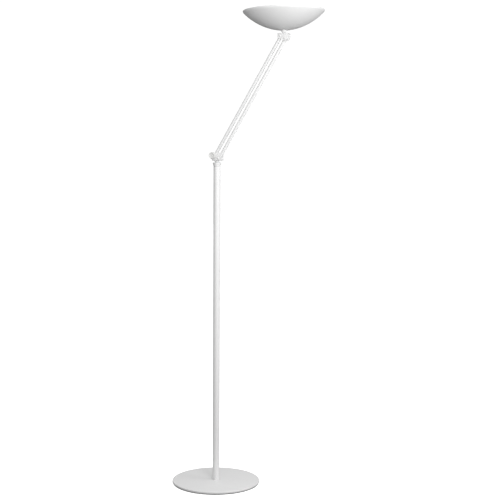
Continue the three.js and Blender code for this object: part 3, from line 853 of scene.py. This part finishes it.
# ------------------------------------------------------------------------------------
# Stem and cone. A hollow threaded stem stands on the bracket, and a turned cone slides
# over it to give the dish a seat. Both stand a little out of true, and the dish with them.
# Heights from here on are above the underside of the dish.
DISH_LIFT = 24.5
DISH_TILT_SIDE = math.radians(1.6)
DISH_TILT_FRONT = math.radians(0.9)
STEM_RADIUS = 4.7
STEM_BORE = 2.6
STEM_TOP = 15.4
STEM_HOLE = 5.5
THREAD_PITCH = 1.0
THREAD_TURNS = 14
roof_top = ROOF_RISE - DISH_LIFT
tilted_seat = (Matrix.Translation((stem_x * MM, 0, roof * MM))
               @ Matrix.Rotation(-DISH_TILT_FRONT, 4, "X")
               @ Matrix.Rotation(-DISH_TILT_SIDE, 4, "Y")
               @ Matrix.Translation((0, 0, -roof_top * MM)))
thread = []
for turn in range(THREAD_TURNS):
    crest = 0.8 + turn * THREAD_PITCH
    thread += [(STEM_RADIUS, crest), (STEM_RADIUS - 0.35, crest + 0.5 * THREAD_PITCH)]
stem = turned("dish_stem_threaded", [
    (STEM_BORE, roof_top - 2), (4, roof_top - 2), (4, roof_top + 0.6),
    (STEM_RADIUS, roof_top + 0.6), *thread, (4.4, STEM_TOP), (STEM_BORE, STEM_TOP)],
    48, tilted_seat)
fit(stem, zinc, "lamp", "zinc_steel", "dish_stem")
cone = turned("dish_cone_turned", eased([
    (STEM_HOLE, roof_top + 0.8), (6.4, roof_top + 0.8, 0.3), (6.7, -8, 1.0),
    (12.4, -1.3, 0.7), (13, -0.3, 0.25), (STEM_HOLE, -0.3)]), 72, tilted_seat)
fit(cone, white_paint, "lamp", "white_paint", "dish_boss")

# ------------------------------------------------------------------------------------
# Dish. Spun from thin steel sheet over a former: a shallow bowl that steepens into a
# short lip, trimmed and rounded at its edge. Powder-coated inside and out.
DISH_RADIUS = 152
DISH_DEPTH = 72
DISH_LIP = 3.5
DISH_SHEET = 1.0
LIP_FLARE = 1.4  # how far the lip leans out
BOWL_STEPS = 44


def dish_height(radius):
    share = radius / DISH_RADIUS
    return (DISH_DEPTH - DISH_LIP) * (1 - (1 - share ** 2) ** 0.9)


skin = []
for step in range(BOWL_STEPS + 1):
    radius = STEM_HOLE + (DISH_RADIUS - LIP_FLARE - STEM_HOLE) * step / BOWL_STEPS
    skin.append(Vector((radius, dish_height(radius))))
lip_foot = skin[-1].y
lip_rise = DISH_DEPTH - 0.5 - lip_foot
for share in (0.2, 0.4, 0.6, 0.8, 1.0):
    skin.append(Vector((
        DISH_RADIUS - LIP_FLARE + LIP_FLARE * share ** 0.75, lip_foot + lip_rise * share)))
trim = [(DISH_RADIUS - 0.12, DISH_DEPTH - 0.15), (DISH_RADIUS - 0.45, DISH_DEPTH),
        (DISH_RADIUS - 0.75, DISH_DEPTH - 0.1), (DISH_RADIUS - 1.0, DISH_DEPTH - 0.5)]
lining = []
for i, point in enumerate(skin):
    along = (skin[min(i + 1, len(skin) - 1)] - skin[max(i - 1, 0)]).normalized()
    lining.append(point + Vector((-along.y, along.x)) * DISH_SHEET)
lining[0].x = STEM_HOLE
lining = [point for point in lining if point.y < DISH_DEPTH - 1.2]
dish_profile = [*map(tuple, skin), *trim, *map(tuple, reversed(lining))]

dish_paint = powder_coat("white_powder_coat_dish")
dish = turned("dish_spun", dish_profile, 256, tilted_seat)
fit(dish, dish_paint, "lamp", "white_paint", "dish_shell")

# ------------------------------------------------------------------------------------
# Dish washer and nut. Zinc-plated steel, the nut a plain hexagon with its corners turned
# off. They clamp the dish down on the cone from inside.
dish_washer = turned("dish_washer_plate", eased([
    (STEM_HOLE, 1.8), (12, 1.8, 0.3), (12, 3.0, 0.3), (STEM_HOLE, 3.0)]), 64, tilted_seat)
fit(dish_washer, zinc, "lamp", "zinc_steel", "dish_washer")
nut_blank = turned("dish_nut_hexagon", [(0, 3.3), (9.24, 3.3), (9.24, 8.3), (0, 8.3)], 6)
nut_cone = turned("nut_cone", [
    (0, 1.0), (7.4, 3.0), (9.6, 4.3), (9.6, 7.3), (7.4, 8.6), (0, 9.6)], 64)
nut_bore = turned("nut_bore", [(0, 0), (STEM_HOLE, 0), (STEM_HOLE, 12), (0, 12)], 48)
dish_nut = cut(cut(nut_blank, [nut_cone], "INTERSECT"), [nut_bore])
dish_nut.data.transform(tilted_seat)
fit(dish_nut, zinc, "lamp", "zinc_steel", "dish_nut")

# ------------------------------------------------------------------------------------
# Heat sink. A turned aluminium plate screwed to the stem, with radial fins under it that
# let the heat of the light source out into the dish.
SINK_RADIUS = 50
aluminium = Finish("turned_aluminium", Metallic=0.95)
alu_cloud = aluminium.noise(120, 3)
aluminium.feed("Base Color", aluminium.blend(alu_cloud, (0.60, 0.61, 0.62), (0.74, 0.74, 0.75)))
aluminium.feed("Roughness", 0.30 + alu_cloud * 0.14)
aluminium.bump(aluminium.noise(1500, 3), 0.00004, 0.5)
sink = turned("heat_sink_plate", eased([
    (STEM_HOLE, 8.7), (12, 8.7, 0.4), (12, 12.4), (SINK_RADIUS, 12.4, 0.3),
    (SINK_RADIUS, 15.5, 0.4), (STEM_HOLE, 15.5)]), 96)
fins = GrownShape("heat_sink_fins", Fins=30, Ring=0.031, Length=0.034, Height=0.0026,
                  Thickness=0.0009)
fin_ring = fins.node("GeometryNodeMeshCircle", Vertices=fins.size("Fins"),
                     Radius=fins.size("Ring"))
fin_size = fins.node("ShaderNodeCombineXYZ", X=fins.size("Length"), Y=fins.size("Thickness"),
                     Z=fins.size("Height"))
fin = fins.node("GeometryNodeMeshCube", Size=fin_size)
fin_at = fins.node("GeometryNodeInputPosition")
fin_aim = fins.node("FunctionNodeAlignRotationToVector", {"axis": "X"}, Vector=fin_at)
fin_set = fins.node("GeometryNodeInstanceOnPoints", Points=fin_ring, Instance=fin,
                    Rotation=fin_aim)
fin_low = fins.node("GeometryNodeTransform", Geometry=fin_set, Translation=(0, 0, 0.0113))
sink = joined("heat_sink_finned", [sink, as_piece("fins", fins.grow(aluminium, fin_low))])
sink.data.transform(tilted_seat)
fit(sink, aluminium, "lamp", "aluminium", "led_heat_sink")

# ------------------------------------------------------------------------------------
# Light board. A white disc with three rings of small square light chips, lying on the
# heat sink.
board_white = Finish("board_lacquer", Roughness=0.45)
board_cloud = board_white.noise(90, 3)
board_white.feed("Base Color", board_white.blend(
    board_cloud, (0.74, 0.74, 0.72), (0.82, 0.82, 0.80)))
chip_yellow = Finish("chip_phosphor", Roughness=0.35)
chip_grain = chip_yellow.noise(2500, 2)
chip_yellow.feed("Base Color", chip_yellow.blend(
    chip_grain, (0.80, 0.56, 0.10), (0.86, 0.68, 0.22)))
board = turned("light_board_disc", eased([
    (4, 15.9), (44, 15.9, 0.2), (44, 17.4, 0.3), (4, 17.4)]), 96, tilted_seat)
fit(board, board_white, "lamp", "light_board", "led_board")
chip_rings = []
for count, ring_radius in ((10, 0.014), (18, 0.026), (26, 0.038)):
    chips = GrownShape(f"light_chips_{count}", Chips=count, Ring=ring_radius, Chip=0.0030,
                       Height=0.0008)
    chip_ring = chips.node("GeometryNodeMeshCircle", Vertices=chips.size("Chips"),
                           Radius=chips.size("Ring"))
    chip_size = chips.node("ShaderNodeCombineXYZ", X=chips.size("Chip"), Y=chips.size("Chip"),
                           Z=chips.size("Height"))
    chip = chips.node("GeometryNodeMeshCube", Size=chip_size)
    chip_at = chips.node("GeometryNodeInputPosition")
    chip_aim = chips.node("FunctionNodeAlignRotationToVector", {"axis": "X"}, Vector=chip_at)
    chip_set = chips.node("GeometryNodeInstanceOnPoints", Points=chip_ring, Instance=chip,
                          Rotation=chip_aim)
    chip_high = chips.node("GeometryNodeTransform", Geometry=chip_set,
                           Translation=(0, 0, 0.0179))
    chip_rings.append(as_piece("chips", chips.grow(chip_yellow, chip_high)))
chip_piece = joined("light_chips", chip_rings)
chip_piece.data.transform(tilted_seat)
fit(chip_piece, chip_yellow, "lamp", "light_board")

# ------------------------------------------------------------------------------------
# Diffuser. A shallow opal cap snapped over the heat sink, with a rounded shoulder and a
# fine stipple on its outside.
opal = Finish("opal_diffuser", Subsurface_Weight=0.35, Subsurface_Scale=0.004, Roughness=0.42,
              Subsurface_Radius=(1.0, 0.9, 0.8))
opal_cloud = opal.noise(50, 3)
opal.feed("Base Color", opal.blend(opal_cloud, (0.83, 0.82, 0.79), (0.88, 0.87, 0.85)))
opal.bump(opal.noise(1300, 2), 0.00008, 0.5)
CAP_RADIUS = 52
CAP_BORE = 50.3
CAP_SHOULDER = 20
CAP_RISE = 14
CAP_INNER_SHOULDER = 19.7
CAP_INNER_RISE = 12.4
CAP_STEPS = 14
cap_outside = []
cap_inside = []
for step in range(CAP_STEPS):
    turn = math.radians(90 * step / CAP_STEPS)
    cap_outside.append((
        CAP_RADIUS * math.cos(turn), CAP_SHOULDER + CAP_RISE * math.sin(turn)))
    cap_inside.append((
        CAP_BORE * math.cos(turn), CAP_INNER_SHOULDER + CAP_INNER_RISE * math.sin(turn)))
cap_outside.append((0, CAP_SHOULDER + CAP_RISE))
cap_inside.append((0, CAP_INNER_SHOULDER + CAP_INNER_RISE))
cap = turned("diffuser_cap", [
    *reversed(cap_outside), (CAP_RADIUS, 12), (51.8, 10.9), (51.3, 10.5), (50.6, 10.6),
    (CAP_BORE, 11), *cap_inside], 128, tilted_seat)
fit(cap, opal, "lamp", "opal_plastic", "led_diffuser")

bpy.data.objects.remove(rivet_pattern)
